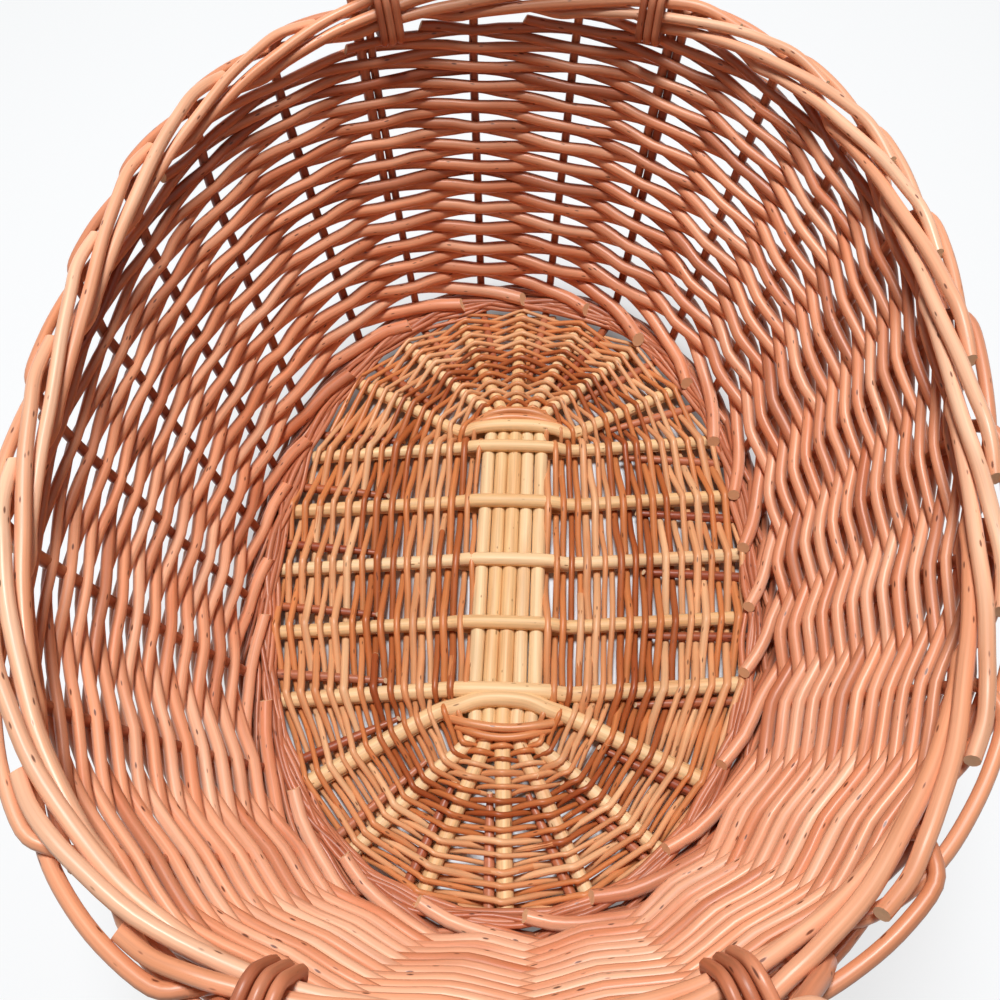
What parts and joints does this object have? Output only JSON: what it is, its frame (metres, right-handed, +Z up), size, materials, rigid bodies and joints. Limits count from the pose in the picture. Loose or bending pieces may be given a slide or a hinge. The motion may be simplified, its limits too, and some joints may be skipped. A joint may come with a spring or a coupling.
{
  "type": "willow gathering basket",
  "caption": "Oval open willow basket with a stick floor, flared woven wall, plaited border and a roped bow handle at each end, for carrying garden produce.",
  "frame": {"origin": "middle of the basket's footprint, on the ground", "axes": "+Z up, +Y along the basket towards its far handle, +X to the right"},
  "size_m": [0.3057, 0.3948, 0.2422],
  "materials": {
    "wall_willow": "buff willow, boiled and peeled, satin",
    "border_willow": "paler buff willow, satin",
    "peeled_sticks": "white peeled willow, satin",
    "floor_willow": "thin buff willow, satin"
  },
  "bodies": {
    "root": {"base_weave": "floor_willow", "cross_stick_1": "peeled_sticks", "cross_stick_2": "peeled_sticks", "cross_stick_3": "peeled_sticks", "cross_stick_4": "peeled_sticks", "cross_stick_5": "peeled_sticks", "end_stick_far": "peeled_sticks", "end_stick_near": "peeled_sticks", "long_stick_1": "peeled_sticks", "long_stick_2": "peeled_sticks", "long_stick_3": "peeled_sticks", "long_stick_4": "peeled_sticks", "long_stick_5": "peeled_sticks", "stake_01": "border_willow", "stake_02": "border_willow", "stake_03": "border_willow", "stake_04": "border_willow", "stake_05": "border_willow", "stake_06": "border_willow", "stake_07": "border_willow", "stake_08": "border_willow", "stake_09": "border_willow", "stake_10": "border_willow", "stake_11": "border_willow", "stake_12": "border_willow", "stake_13": "border_willow", "stake_14": "border_willow", "stake_15": "border_willow", "stake_16": "border_willow", "stake_17": "border_willow", "stake_18": "border_willow", "stake_19": "border_willow", "stake_20": "border_willow", "stake_21": "border_willow", "stake_22": "border_willow", "stake_23": "border_willow", "stake_24": "border_willow", "upsett_wale": "wall_willow", "siding_weave": "wall_willow", "far_handle_bow": "wall_willow", "far_handle_wrap": "wall_willow", "far_handle_binding_1": "wall_willow", "far_handle_binding_2": "wall_willow", "far_handle_binding_3": "wall_willow", "far_handle_binding_4": "wall_willow", "near_handle_bow": "wall_willow", "near_handle_wrap": "wall_willow", "near_handle_binding_1": "wall_willow", "near_handle_binding_2": "wall_willow", "near_handle_binding_3": "wall_willow", "near_handle_binding_4": "wall_willow"}
  },
  "joints": []
}
